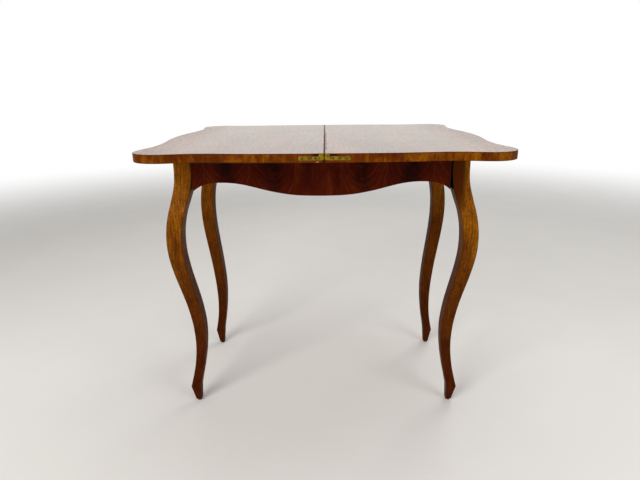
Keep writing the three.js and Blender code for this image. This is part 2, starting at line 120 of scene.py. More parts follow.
def below(axis, level):
    return lambda edge: all(vert.co[axis] < (level + table["hair"]) * mm for vert in edge.verts)


def isSharp(edge, angle):
    return len(edge.link_faces) == 2 and edge.calc_face_angle(0) > angle


def easeEdges(piece, test, width, segments=3):
    pick(piece, "EDGE", test)
    bpy.ops.mesh.bevel(offset=width * mm, segments=segments, affect="EDGES", clamp_overlap=True)
    leaveEdit()


def extrude(move):
    # what is selected, by a move in millimetres
    move = [part * mm for part in move]
    bpy.ops.mesh.extrude_region_move(TRANSFORM_OT_translate={"value": move})


def closeUp(piece):
    # merged doubles first, then every face turned outwards
    openUp(piece, "VERT", "SELECT")
    bpy.ops.mesh.remove_doubles(threshold=0.000004)
    bpy.ops.mesh.normals_make_consistent(inside=False)
    leaveEdit()


def smoothOver(piece):
    # big faces have the say over the shading, so they stay flat up to their rounded edges
    choose(piece)
    bpy.ops.object.shade_smooth_by_angle(angle=math.radians(32))
    even = piece.modifiers.new("even", "WEIGHTED_NORMAL")
    even.keep_sharp = True
    bpy.ops.object.modifier_apply(modifier=even.name)


def cutWith(piece, *cutters):
    for cutter in cutters:
        choose(piece)
        tool = piece.modifiers.new("cut", "BOOLEAN")
        tool.operation = "DIFFERENCE"
        tool.solver = "EXACT"
        tool.object = cutter
        bpy.ops.object.modifier_apply(modifier=tool.name)
        bpy.data.objects.remove(cutter)
    return piece


def sawn(name, outline, direction, low, high):
    # a board sawn to a closed outline of X, Y points, or X, Z along Y, or Y, Z along X
    line = bpy.data.curves.new(name, "CURVE")
    line.dimensions = "2D"
    line.fill_mode = "NONE"
    spline = line.splines.new("POLY")
    spline.points.add(len(outline) - 1)
    for point, (u, v) in zip(spline.points, outline):
        point.co = (u * mm, v * mm, 0, 1)
    spline.use_cyclic_u = True
    choose(put(name, line))
    bpy.ops.object.convert(target="MESH")
    piece = bpy.context.view_layer.objects.active
    bpy.ops.object.mode_set(mode="EDIT")
    bpy.ops.mesh.select_all(action="SELECT")
    bpy.ops.mesh.edge_face_add()
    extrude((0, 0, high - low))
    leaveEdit()
    axes = {"Z": (0, 1, 2), "Y": (0, 2, 1), "X": (1, 2, 0)}[direction]
    turn = Matrix.Diagonal((0, 0, 0, 1))
    for column, axis in enumerate(axes):
        turn[axis][column] = 1
    turn[axes[2]][3] = low * mm
    piece.data.transform(turn)
    closeUp(piece)
    return piece


def block(name, xs, ys, zs):
    middle = [(a + b) / 2 * mm for a, b in (xs, ys, zs)]
    bpy.ops.mesh.primitive_cube_add(size=1, location=middle)
    bpy.context.view_layer.objects.active.scale = [(b - a) * mm for a, b in (xs, ys, zs)]
    return settled(name)


def rod(name, radius, centre, low, high, direction="Y", farRadius=None, sides=32):
    # round stock along Y or Z; the far radius is the one at the high end
    lying = direction == "Y"
    middle = (low + high) / 2
    place = (centre[0], middle, centre[1]) if lying else (*centre, middle)
    far = farRadius or radius
    first, second = (far, radius) if lying else (radius, far)
    bpy.ops.mesh.primitive_cone_add(
        vertices=sides,
        radius1=first * mm,
        radius2=second * mm,
        depth=(high - low) * mm,
        location=[value * mm for value in place],
        rotation=(math.pi / 2 if lying else 0, 0, 0),
    )
    return settled(name, turned=True)


def copied(piece, name, sides=(1, 1), shift=(0, 0, 0)):
    # the same piece on another side of the table, with a mesh of its own
    twin = put(name, piece.data.copy())
    twin.data.name = name
    twin.data.transform(Matrix.Translation(Vector(shift) * mm) @ Matrix.Diagonal((*sides, 1, 1)))
    if sides[0] * sides[1] < 0:
        closeUp(twin)
    return twin


def drop(*patterns):
    for pattern in patterns:
        bpy.data.objects.remove(pattern)


def nameOf(node):
    # the node lower_leaf_rear_hinge_pin gives lowerRearPin
    words = [word for word in node.split("_") if word not in ("leaf", "hinge")]
    return words[0] + "".join(word.title() for word in words[1:])


def fit(pattern, sides, material, body, node, shift=(0, 0, 0)):
    # a copy of the pattern in its own place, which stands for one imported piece
    twin = copied(pattern, nameOf(node), sides, shift)
    smoothOver(twin)
    twin.data.materials.clear()
    twin.data.materials.append(material)
    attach(twin, body)
    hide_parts(node)


def through(points, steps):
    # a smooth line through the given points, as a batten is sprung through pins
    line = []
    last = len(points) - 1
    for i in range(steps + 1):
        place = last * i / steps
        k = int(place)
        w = place - k
        near = [points[min(max(k + step, 0), last)] for step in (-1, 0, 1, 2)]
        row = []
        for a, b, c, d in zip(*near):
            first, second = (c - a) / 2, (d - b) / 2
            cubic = 2 * b - 2 * c + first + second
            square = -3 * b + 3 * c - 2 * first - second
            row.append(cubic * w**3 + square * w**2 + first * w + b)
        line.append(row)
    return line


def arc(centreX, centreY, radius, fromTurn, toTurn, steps):
    points = []
    for i in range(steps + 1):
        angle = 2 * math.pi * (fromTurn + (toTurn - fromTurn) * i / steps)
        points.append((centreX + radius * math.cos(angle), centreY + radius * math.sin(angle)))
    return points


def isSocket(value):
    return isinstance(value, bpy.types.NodeSocket)


def treeOf(*values):
    # a socket knows the node tree that it is in
    return next(value.id_data for value in values if isSocket(value))


def wire(node, inputs):
    # links the sockets among the values and sets the rest
    for key, value in inputs.items():
        if isSocket(value):
            node.id_data.links.new(value, node.inputs[key])
        else:
            node.inputs[key].default_value = value
    return node


def add(tree, kind, inputs=None, **settings):
    made = tree.nodes.new("ShaderNode" + kind)
    for key, value in settings.items():
        setattr(made, key, value)
    return wire(made, inputs or {})


def calc(operation, *values, kind="Math", result=0):
    made = add(treeOf(*values), kind, dict(enumerate(values)), operation=operation)
    return made.outputs[result]


def chained(operation):
    # a sum, product or maximum of any number of values
    def run(total, *others):
        for other in others:
            total = calc(operation, total, other)
        return total

    return run


plus, times, largest = [chained(name) for name in ("ADD", "MULTIPLY", "MAXIMUM")]


def minus(first, second):
    return calc("SUBTRACT", first, second)


def size(value):
    return calc("ABSOLUTE", value)


def varied(value, middle, amount):
    # a value between 0 and 1 as a swing of this amount about its middle
    return times(minus(value, middle), amount)


def ranged(value, low, high, toLow=0, toHigh=1):
    inputs = {"Value": value, "From Min": low, "From Max": high, "To Min": toLow, "To Max": toHigh}
    made = add(treeOf(value), "MapRange", inputs, interpolation_type="SMOOTHSTEP")
    return made.outputs["Result"]


def fading(value, low, high, most=1):
    return ranged(value, low, high, most, 0)


def noise(vector, scale, detail=2, roughness=0.5, distortion=0):
    inputs = {"Vector": vector, "Scale": scale, "Detail": detail, "Roughness": roughness}
    inputs["Distortion"] = distortion
    return add(treeOf(vector), "TexNoise", inputs).outputs["Fac"]


def scaled(vector, amounts):
    return calc("MULTIPLY", vector, amounts, kind="VectorMath")


def dotted(first, second):
    return calc("DOT_PRODUCT", first, second, kind="VectorMath", result="Value")


def separated(vector):
    return add(treeOf(vector), "SeparateXYZ", {"Vector": vector}).outputs


def combined(**inputs):
    return add(treeOf(*inputs.values()), "CombineXYZ", inputs).outputs[0]


def blend(share, first, second):
    # from the first colour to the second, which sockets 6 and 7 of the node take
    first, second = [one if isSocket(one) else (*one, 1) for one in (first, second)]
    inputs = {0: share, 6: first, 7: second}
    return add(treeOf(share), "Mix", inputs, data_type="RGBA").outputs[2]


def layered(colour, *coats):
    # lays each coat over what is there, as its share says
    for share, coat in coats:
        colour = blend(share, colour, coat)
    return colour


def ramp(share, look):
    made = add(treeOf(share), "ValToRGB", {"Fac": share})
    bar = made.color_ramp
    while len(bar.elements) < len(look["stops"]):
        bar.elements.new(0.5)
    for element, place, colour in zip(bar.elements, look["stops"], look["colours"]):
        element.position = place
        element.color = (*colour, 1)
    return made.outputs["Color"]


def newGroup(name, inputs, build):
    # each input has a value, or none where it takes a vector; the results come by their names
    group = bpy.data.node_groups.new(name, "ShaderNodeTree")
    for label, value in inputs.items():
        kind = "NodeSocketVector" if value is None else "NodeSocketFloat"
        port = group.interface.new_socket(label, in_out="INPUT", socket_type=kind)
        if value is not None:
            port.default_value = value
    given = group.nodes.new("NodeGroupInput").outputs
    results = build(*given[: len(inputs)])
    for label in results:
        group.interface.new_socket(label, in_out="OUTPUT", socket_type="NodeSocketFloat")
    wire(group.nodes.new("NodeGroupOutput"), results)
    return group


def use(group, *values):
    # the values in the order of the group's inputs
    return add(treeOf(*values), "Group", dict(enumerate(values)), node_tree=group).outputs


def normalOf(tree):
    return add(tree, "NewGeometry").outputs["Normal"]


def buildGrain(place, fibreScale, figureScale, poreScale, stretch):
    # wood grain that runs along Z of the vector it is given
    push = varied(noise(place, 9), 0.5, 0.03)
    bent = calc("ADD", place, combined(X=push, Y=push), kind="VectorMath")
    lines = scaled(bent, combined(X=1, Y=1, Z=stretch))
    fibre = noise(lines, fibreScale, 5, 0.62)
    pores = ranged(noise(scaled(lines, (1, 1, 0.8)), poreScale), 0.58, 0.72)
    wave = {
        "Vector": scaled(bent, (1, 1, 0.12)),
        "Scale": times(figureScale, 1.6),
        "Distortion": 5.5,
        "Detail": 3,
        "Detail Scale": 1.4,
        "Detail Roughness": 0.6,
    }
    rings = add(treeOf(bent), "TexWave", wave, wave_type="BANDS", bands_direction="X")
    return {
        "Fibre": fibre,
        "Figure": noise(scaled(bent, (1, 1, 0.22)), figureScale, 4, 0.55, 0.6),
        "Pores": pores,
        "Rings": rings.outputs["Fac"],
        "Height": minus(times(fibre, 0.5), times(pores, 0.6)),
    }


def buildSheets(run, width, firstJoint, jointWidth):
    # upright sheets of veneer laid side by side, each turned over from the one before
    share = calc("DIVIDE", minus(run, firstJoint), width)
    cell = calc("FLOOR", share)
    inside = minus(share, cell)
    distance = times(calc("MINIMUM", inside, minus(1, inside)), width)
    tone = add(treeOf(cell), "TexWhiteNoise", {"W": cell}, noise_dimensions="1D")
    return {
        "Local": minus(calc("PINGPONG", share, 1), 0.5),
        "Joint": fading(distance, 0, jointWidth),
        "Tone": tone.outputs["Value"],
    }


def buildArris(place, reach, breakUp):
    # how near a point is to an outer edge, broken up so that no edge is worn evenly
    tree = treeOf(place)
    rounded = add(tree, "Bevel", {"Radius": reach}, samples=6).outputs[0]
    edge = ranged(minus(1, dotted(rounded, normalOf(tree))), 0.004, 0.16)
    patches = noise(place, breakUp, 3, 0.6)
    return {"Edge": edge, "Worn": times(edge, ranged(patches, 0.4, 0.62))}


def buildHandling(place, scale):
    # what years of hands and cloths leave: smudges, settled dust and fine scratches
    streaks = noise(scaled(place, (1, 0.06, 0.3)), times(scale, 60), 2, 0.5, 0.8)
    return {
        "Smudge": noise(place, scale, 4, 0.6, 0.4),
        "Dust": ranged(noise(place, times(scale, 40)), 0.55, 0.75),
        "Scratch": ranged(streaks, 0.66, 0.74),
    }


def buildFlame(place, local, height, width):
    # the feathered figure of wood cut from below a fork in the tree, spreading downwards
    across = plus(local, varied(noise(place, 15, 3), 0.5, 0.36))
    side = times(calc("SQRT", plus(times(across, across), 0.004)), width)
    slope = minus(height, times(side, side, 24))
    line = combined(X=slope, Y=times(side, 0.12))
    broad = times(noise(line, 62, 4, 0.62, 0.3), 0.76)
    fine = times(noise(line, 430, 4, 0.6), 0.24)
    core = fading(size(across), 0.02, 0.3)
    high = ranged(height, 0.61, 0.7, 0.55, 1)
    patch = ranged(noise(place, 34, 3, 0.6, 0.8), 0.34, 0.52, 0.4, 1)
    return {
        "Plume": times(core, high, patch),
        "Feather": plus(broad, fine),
        "Cloud": noise(place, 24, 4, 0.6, 0.5),
    }


grainInputs = {"Fibre Scale": 700, "Figure Scale": 22, "Pore Scale": 1500, "Stretch": 0.05}
grainGroup = newGroup("wood grain", {"Vector": None, **grainInputs}, buildGrain)
sheetInputs = {"Run": 0, "Width": 0.115, "First Joint": 0, "Joint Width": 0.0006}
sheetGroup = newGroup("veneer sheets", sheetInputs, buildSheets)
arrisInputs = {"Vector": None, "Reach": 0.0015, "Break Up": 60}
arrisGroup = newGroup("arris", arrisInputs, buildArris)
handlingGroup = newGroup("handling", {"Vector": None, "Scale": 14}, buildHandling)
flameInputs = {"Vector": None, "Local": 0, "Height": 0, "Width": 0.115}
flameGroup = newGroup("flame", flameInputs, buildFlame)


def setShader(shader, **inputs):
    # an underscore stands for the space in a socket's name
    wire(shader, {key.replace("_", " "): value for key, value in inputs.items()})


def newMaterial(name, **fixed):
    material = bpy.data.materials.new(name)
    material.use_nodes = True
    shader = material.node_tree.nodes["Principled BSDF"]
    setShader(shader, **fixed)
    return material, material.node_tree, shader


def dress(shader, height, depth, **inputs):
    bump = {"Height": height, "Distance": depth, "Strength": 1}
    bumped = add(treeOf(height), "Bump", bump).outputs[0]
    setShader(shader, Normal=bumped, **inputs)


def objectPlace(tree):
    return add(tree, "TexCoord").outputs["Object"]


def turnedPlace(tree, turned, moved=(0, 0, 0)):
    inputs = {"Vector": objectPlace(tree), "Rotation": turned, "Location": moved}
    return add(tree, "Mapping", inputs).outputs[0]


def grainAt(place, look):
    return use(grainGroup, place, *look["grain"])


def edgeAt(place, look):
    return use(arrisGroup, place, *look["edgeWear"])


def wearAt(place, look):
    return use(handlingGroup, place, look["wearScale"])


def roughOf(wear, look):
    return ranged(wear["Smudge"], 0.3, 0.75, *look["rough"])


def sheetsAt(run, look, firstJoint):
    return use(sheetGroup, run, look["sheetWidth"], firstJoint, look["jointWidth"])


leafVeneerLook = {
    "colours": ((0.075, 0.022, 0.008), (0.19, 0.066, 0.026), (0.32, 0.135, 0.062)),
    "stops": (0.36, 0.52, 0.7),
    "pore": (0.035, 0.012, 0.006),
    "edge": (0.045, 0.014, 0.005),
    # painted shade in the seam's rounded mouth
    "grime": (0.012, 0.005, 0.004),
    # painted highlight colour for the right leaf's rounded seam edge
    "worn": (0.3, 0.13, 0.085),
    "grain": (620, 15, 1500, 0.045),
    "edgeWear": (0.0012, 45),
    "wearScale": 9,
    "rough": (0.2, 0.24),
    "coat": 0.65,
    "specular": (0.5, 0.04),
    # from the seam in metres: painted shade in its mouth, a painted highlight strip and the duller
    # outer part
    "seamShadeReach": (0.0013, 0.0027),
    "sheenReach": (0.0018, 0.003),
    "sheenFront": (-0.335, -0.328),
    "sheenRear": (0.02, 0.24),
    "outerPart": (0.22, 0.4),
}


def leafVeneerMaterial(name, look, moved):
    # polished sheets whose grain runs from the front to the back
    material, tree, shader = newMaterial(name, IOR=1.5, Coat_Roughness=0.11, Coat_IOR=1.5)
    place = turnedPlace(tree, alongY, moved)
    grain, wear, edge = grainAt(place, look), wearAt(place, look), edgeAt(place, look)
    fibre, pores = grain["Fibre"], grain["Pores"]
    share = plus(times(fibre, 0.55), times(grain["Figure"], 0.5), varied(grain["Rings"], 0.5, 0.13))
    # the right leaf has a painted highlight along the seam, and the seam's rounded mouth is painted
    # dark as its shade
    x, y, z = separated(objectPlace(tree))
    fromSeam = size(x)
    tattered = minus(x, times(noise(place, 55, 3), 0.006))
    seamSheen = times(
        fading(tattered, *look["sheenReach"], 0.85),
        calc("GREATER_THAN", x, 0),
        fading(y, *look["sheenRear"]),
        ranged(y, *look["sheenFront"]),
    )
    grime = fading(fromSeam, *look["seamShadeReach"], 0.97)
    rim = fading(size(separated(normalOf(tree))["Z"]), 0.88, 0.99)
    colour = layered(
        ramp(share, look),
        (times(pores, 0.7), look["pore"]),
        (times(edge["Edge"], 0.75), look["edge"]),
        # a painted highlight on the right leaf's rounded seam edge
        (seamSheen, look["worn"]),
        (grime, look["grime"]),
        (times(rim, 0.8), look["edge"]),
    )
    # the polish is rubbed off along the edges, and less is left on the outer part
    outer = times(ranged(fromSeam, *look["outerPart"]), ranged(fibre, 0.4, 0.62, 0.32, 0.12))
    dull = largest(edge["Edge"], rim, outer, times(grime, 0.6), times(seamSheen, 0.5))
    rough = plus(roughOf(wear, look), times(wear["Scratch"], 0.06))
    dress(
        shader,
        grain["Height"],
        0.00008,
        Base_Color=colour,
        Roughness=plus(rough, fading(fibre, 0.4, 0.62, 0.07), times(pores, 0.1)),
        Coat_Weight=fading(dull, 0.05, 0.5, look["coat"]),
        Specular_IOR_Level=ranged(dull, 0.05, 0.5, *look["specular"]),
    )
    return material


bandingLook = {
    "colours": ((0.056, 0.0108, 0.0003), (0.104, 0.0215, 0.0004), (0.225, 0.068, 0.001)),
    "stops": (0.3, 0.47, 0.68),
    "joint": (0.03, 0.006, 0.001),
    "red": (0.12, 0.022, 0.002),
    "arris": (0.035, 0.006, 0.001),
    # painted shadow and shade by the hinge straps
    "grime": (0.01, 0.003, 0.001),
    "chip": (0.4, 0.26, 0.16),
    "sheetWidth": 0.1465,
    "firstJoint": -0.4413,
    "jointWidth": 0.0009,
    "grain": (420, 46, 1300, 0.12),
    "edgeWear": (0.0022, 80),
    "wearScale": 20,
    "rough": (0.3, 0.5),
    # in metres: heights of the strap's top and underside, the chip's middle below it
    "strapTop": (0.7345, 0.7355),
    "strapUnder": (0.7255, 0.7265),
    "strapReach": (0.018, 0.034),
    "seamReach": (0.0015, 0.0034),
    "chipPlace": (-0.014, 0.7226),
}


def bandingMaterial(look):
    # edge pieces with upright grain, butted end to end
    material, tree, shader = newMaterial(
        "edge banding", IOR=1.5, Specular_IOR_Level=0.028, Coat_Weight=0.007, Coat_Roughness=0.16
    )
    place = objectPlace(tree)
    x, y, z = separated(place)
    grain, wear, edge = grainAt(place, look), wearAt(place, look), edgeAt(place, look)
    sheets = sheetsAt(plus(x, y), look, look["firstJoint"])
    mottle = noise(scaled(place, (1, 1, 0.7)), 31, 5, 0.6, 0.7)
    share = plus(times(grain["Fibre"], 0.42), times(grain["Figure"], 0.42))
    share = plus(share, varied(sheets["Tone"], 0.5, 0.07), varied(mottle, 0.4, 0.9))
    # painted shadow over the hinge straps, and painted shade in the open end of the seam below them
    fromSeam = size(x)
    overStrap = fading(plus(fromSeam, varied(mottle, 0.5, 0.02)), *look["strapReach"], 0.9)
    openSeam = fading(fromSeam, *look["seamReach"], 0.95)
    # a chip under the front hinge
    chipX, chipZ = look["chipPlace"]
    ragged = plus(x, varied(noise(place, 420, 3), 0.5, 0.006))
    chip = times(
        fading(size(minus(ragged, chipX)), 0.002, 0.0036, 0.85),
        fading(size(minus(z, chipZ)), 0.0005, 0.0013),
        calc("LESS_THAN", y, 0),
    )
    colour = layered(
        ramp(share, look),
        (fading(fromSeam, 0.03, 0.11, 0.55), look["red"]),
        (times(grain["Pores"], 0.6), look["colours"][0]),
        (sheets["Joint"], look["joint"]),
        (times(edge["Edge"], 0.85), look["arris"]),
        (times(ranged(z, *look["strapTop"]), overStrap), look["grime"]),
        (times(fading(z, *look["strapUnder"]), openSeam), look["grime"]),
        (chip, look["chip"]),
    )
    height = minus(grain["Height"], sheets["Joint"])
    dress(shader, height, 0.00012, Base_Color=colour, Roughness=roughOf(wear, look))
    return material


apronLook = {
    "colours": ((0.018, 0.0022, 0.0003), (0.066, 0.0052, 0.0004), (0.15, 0.026, 0.001)),
    "stops": (0.37, 0.55, 0.78),
    "joint": (0.14, 0.032, 0.003),
    "plume": (0.008, 0.0012, 0.0003),
    "sheetWidth": 0.115,
    "jointWidth": 0.0008,
    "plainReach": (0.05, 0.062),  # half the plain sheet, in metres
    "grain": (700, 30, 1600, 0.08),
    "edgeWear": (0.0012, 70),
    "wearScale": 16,
    "rough": (0.24, 0.42),
    # what the sheets follow, the first joint, and the plain sheet that only the long ones have
    "long": ("X", -0.303, -0.0155),
    "short": ("Y", -0.1825, 1),
}


def apronMaterial(name, look, kind):
    # dark flamed sheets laid upright and book matched
    material, tree, shader = newMaterial(
        name, IOR=1.5, Specular_IOR_Level=0.035, Coat_Weight=0.01, Coat_Roughness=0.14
    )
    runAlong, firstJoint, plainSheet = look[kind]
    place = objectPlace(tree)
    axes = separated(place)
    run = axes[runAlong]
    grain, wear, edge = grainAt(place, look), wearAt(place, look), edgeAt(place, look)
    sheets = sheetsAt(run, look, firstJoint)
    flame = use(flameGroup, place, sheets["Local"], axes["Z"], look["sheetWidth"])
    flamed = ranged(size(minus(run, plainSheet)), *look["plainReach"])
    stripes = plus(times(grain["Fibre"], 0.35), times(grain["Figure"], 0.68))
    inputs = {"Factor": flamed, "A": stripes, "B": flame["Feather"]}
    figure = add(tree, "Mix", inputs).outputs[0]
    share = plus(times(figure, 0.72), times(grain["Fibre"], 0.16))
    share = plus(share, times(flame["Cloud"], 0.2), varied(sheets["Tone"], 0.5, 0.07))
    colour = layered(
        ramp(share, look),
        (times(flame["Plume"], flamed, 0.92), look["plume"]),
        (times(sheets["Joint"], 0.6), look["joint"]),
        (times(edge["Edge"], 0.6), look["colours"][2]),
    )
    dress(shader, grain["Height"], 0.00008, Base_Color=colour, Roughness=roughOf(wear, look))
    return material


legLook = {
    "colours": ((0.115, 0.027, 0.0012), (0.225, 0.072, 0.0022), (0.33, 0.122, 0.005)),
    "stops": (0.34, 0.5, 0.68),
    "fleck": (0.04, 0.0085, 0.0009),
    "speck": (0.02, 0.0042, 0.0005),
    "foot": (0.052, 0.0078, 0.0008),
    # painted shade on the rear legs
    "rear": (0.045, 0.0085, 0.0005),
    "heart": (0.06, 0.0115, 0.0004),
    # painted shade beside the gap at the front apron's ends
    "grime": (0.006, 0.003, 0.001),
    # this arris colour is also the painted shade on the faces that look inwards
    "arris": (0.05, 0.0095, 0.001),
    "worn": (0.32, 0.13, 0.018),
    "shine": 0.022,
    "polish": 0.006,
    "grain": (520, 26, 900, 0.055),
    "edgeWear": (0.0035, 38),
    "wearScale": 18,
    "rough": (0.34, 0.52),
    # heights and places in metres
    "darkerBelow": ((0.43, 0.6, 0.55), (0.1, 0.5, 0.95)),
    "heartAbove": (0.52, 0.62),
    "heartInside": (0.342, 0.358),
    "apronEnd": (-0.008, 0.325),
    "jointWidth": (0.0008, 0.0024),
    "gapShadeAbove": (0.614, 0.62),
    "gapShadeFlare": (0.615, 0.672, 0.0045),
}


def legMaterial(look):
    # solid walnut with the grain upright, golden at the knee and darker towards the foot
    material, tree, shader = newMaterial("leg walnut", IOR=1.5, Coat_Roughness=0.2)
    place = objectPlace(tree)
    x, y, z = separated(place)
    grain, wear, edge = grainAt(place, look), wearAt(place, look), edgeAt(place, look)
    fleck = ranged(noise(scaled(place, (1, 1, 0.35)), 460, 4, 0.7), 0.51, 0.62)
    share = plus(times(grain["Fibre"], 0.5), times(grain["Figure"], 0.5))
    low = plus(z, varied(grain["Figure"], 0.5, 0.2))
    colour = layered(
        ramp(plus(share, varied(grain["Rings"], 0.5, 0.1)), look),
        (times(fleck, 0.25), look["fleck"]),
        (times(grain["Pores"], 0.45), look["fleck"]),
        *[(fading(low, *reach), look["foot"]) for reach in look["darkerBelow"]],
        # the rear legs are painted darker as shade
        (ranged(y, -0.1, 0.1, 0, 0.46), look["rear"]),
    )
    mottle = noise(scaled(place, (1, 1, 0.3)), 88, 6, 0.74)
    colour = scaled(colour, ranged(mottle, 0.36, 0.66, 1.25, 0.72))
    # darker heartwood on the inner side of the right front post
    heart = times(
        ranged(z, *look["heartAbove"]),
        fading(x, *look["heartInside"]),
        ranged(x, 0, 0.2),
        fading(y, -0.1, 0.1, 0.96),
    )
    # painted shade: the faces that look towards the middle of the table are darker
    soft = add(tree, "Bevel", {"Radius": 0.01}, samples=8).outputs[0]
    shadedInward = times(separated(soft)["X"], calc("SIGN", x))
    # the front apron has shrunk away from the posts, most of all at the right one, and the post
    # beside the gap is painted dark, without shine, as the gap's shade
    apronMiddle, apronHalf = look["apronEnd"]
    fromApron = minus(size(minus(x, apronMiddle)), apronHalf)
    joint = times(
        fading(minus(fromApron, fading(z, *look["gapShadeFlare"])), *look["jointWidth"]),
        ranged(z, *look["gapShadeAbove"]),
        fading(y, -0.1, 0.1),
        ranged(x, -0.2, 0.2, 0.5, 1),
    )
    colour = layered(
        colour,
        (times(fleck, 0.45), look["speck"]),
        (heart, look["heart"]),
        (fading(shadedInward, -0.7, -0.04, 0.62), look["arris"]),
        (times(edge["Edge"], 0.7), look["arris"]),
        (times(edge["Worn"], 0.25), look["worn"]),
        (joint, look["grime"]),
    )
    dress(
        shader,
        minus(grain["Height"], times(fleck, 0.3)),
        0.00015,
        Base_Color=colour,
        Roughness=roughOf(wear, look),
        Specular_IOR_Level=fading(joint, 0, 0.6, look["shine"]),
        Coat_Weight=fading(joint, 0, 0.6, look["polish"]),
    )
    return material


pineLook = {
    "colours": ((0.52, 0.33, 0.15), (0.52, 0.33, 0.15), (0.3, 0.15, 0.05)),
    "stops": (0.25, 0.55, 0.82),
    "aged": (0.16, 0.085, 0.035),
    "stain": (0.05, 0.016, 0.006),
    # near black, painted as shade in the gap at the apron's end
    "glue": (0.004, 0.003, 0.002),
    "grain": (480, 30, 1200, 0.035),
    "wearScale": 12,
    "sawMarks": (12, 12, 260),
}


def pineMaterial(name, look, turned, darkened=""):
    # bare boards, sawn and never polished, browned by age
    material, tree, shader = newMaterial(name, IOR=1.45, Specular_IOR_Level=0.3)
    place = turnedPlace(tree, turned)
    grain, wear = grainAt(place, look), wearAt(place, look)
    share = plus(times(grain["Rings"], 0.6), times(grain["Fibre"], 0.4))
    coats = [(ranged(wear["Smudge"], 0.35, 0.8, 0.15, 0.75), look["aged"])]
    if darkened == "under":
        # the sawn edge below is stained dark, and the face behind the veneer is painted near black
        # as the shade of the gap at the apron's end
        normal = normalOf(tree)
        outward = dotted(scaled(objectPlace(tree), (1, 1, 0)), normal)
        coats.append((fading(separated(normal)["Z"], -0.6, -0.25), look["stain"]))
        coats.append((ranged(outward, 0.09, 0.13), look["glue"]))
    if darkened == "seam":
        fromSeam = size(separated(objectPlace(tree))["X"])
        coats.append((fading(fromSeam, 0.006, 0.012), look["stain"]))
    colour = layered(ramp(share, look), *coats)
    saw = noise(scaled(place, look["sawMarks"]), 1)
    rough = ranged(wear["Dust"], 0, 1, 0.72, 0.9)
    height = plus(grain["Fibre"], times(saw, 0.5))
    dress(shader, height, 0.0003, Base_Color=colour, Roughness=rough)
    return material


metalLook = {
    "edgeWear": (0.0005, 240),
    "wearScale": 60,
    "gapShadeReach": (0.0005, 0.0019),
    # clean, tarnished and rubbed colour, the share of painted shade between the straps, and the
    # roughness
    "aged brass": (
        (0.53, 0.325, 0.022), (0.13, 0.085, 0.012), (0.78, 0.6, 0.2), 0.93, (0.34, 0.6)
    ),
    # the links' brass is painted dark, as the shade behind the straps
    "brass darkened as shade": ((0.13, 0.08, 0.014), (0.035, 0.022, 0.006), (0.4, 0.28, 0.08), 0, (0.42, 0.7)),
    "screw brass": (
        (0.24, 0.155, 0.016), (0.085, 0.055, 0.01), (0.5, 0.38, 0.12), 0, (0.38, 0.65)
    ),
    "dark iron": (
        (0.07, 0.05, 0.028), (0.035, 0.018, 0.01), (0.3, 0.28, 0.26), 0, (0.42, 0.72)
    ),
}


def metalMaterial(name, look):
    # dull aged metal, rubbed brighter along its edges
    material, tree, shader = newMaterial(name, Metallic=1)
    clean, tarnish, bright, gapShadeShare, rough = look[name]
    place = objectPlace(tree)
    wear, edge = wearAt(place, look), edgeAt(place, look)
    blotches = noise(place, 170, 5, 0.65, 0.5)
    colour = layered(
        blend(ranged(blotches, 0.35, 0.68), clean, tarnish),
        (times(edge["Worn"], 0.4), bright),
        (times(wear["Scratch"], 0.3), bright),
    )
    # painted shade: the metal near the seam is darkened towards black
    if gapShadeShare:
        fromSeam = size(separated(place)["X"])
        colour = blend(fading(fromSeam, *look["gapShadeReach"], gapShadeShare), colour, (0, 0, 0))
    rough = ranged(blotches, 0.3, 0.75, *rough)
    dress(shader, blotches, 0.00008, Base_Color=colour, Roughness=rough)
    return material


upright = (0, 0, 0)
alongX = (0, math.pi / 2, 0)
alongY = (math.pi / 2, 0, 0)
lowerVeneer = leafVeneerMaterial("leaf veneer right", leafVeneerLook, (0.31, 0, 0.12))
upperVeneer = leafVeneerMaterial("leaf veneer left", leafVeneerLook, (1.27, 0.4, 0))
banding = bandingMaterial(bandingLook)
longFlame = apronMaterial("apron flame long", apronLook, "long")
shortFlame = apronMaterial("apron flame short", apronLook, "short")
legWalnut = legMaterial(legLook)
pineAcross = pineMaterial("pine along x", pineLook, alongX)
pineBack = pineMaterial("pine along y", pineLook, alongY)
pineUpright = pineMaterial("pine upright", pineLook, upright)
apronPineLong = pineMaterial("apron pine long", pineLook, alongX, "under")
apronPineShort = pineMaterial("apron pine short", pineLook, alongY, "under")
leafPine = pineMaterial("leaf pine", pineLook, alongY, "seam")
brass = metalMaterial("aged brass", metalLook)
shadeDarkBrass = metalMaterial("brass darkened as shade", metalLook)
screwBrass = metalMaterial("screw brass", metalLook)
iron = metalMaterial("dark iron", metalLook)
print("materials made")

leaf = {
    "sideHollow": 17,
    "endHollow": 12,
    "endLean": 2.4,
    "corner": 60,
    "waveSteps": 54,
    "cornerSteps": 16,
    "topRound": 0.7,
    "underRound": 0.9,
    "seamRound": 1.4,
    # run share from the middle of the side to the corner, dip share of the hollow
    "sideLine": (
        (0, 0), (0.05, 0.01), (0.14, 0.09), (0.28, 0.31), (0.45, 0.75), (0.58, 0.95),
        (0.69, 1), (0.77, 0.91), (0.85, 0.59), (0.92, 0.31), (0.96, 0.22), (1, 0.19),
    ),
}


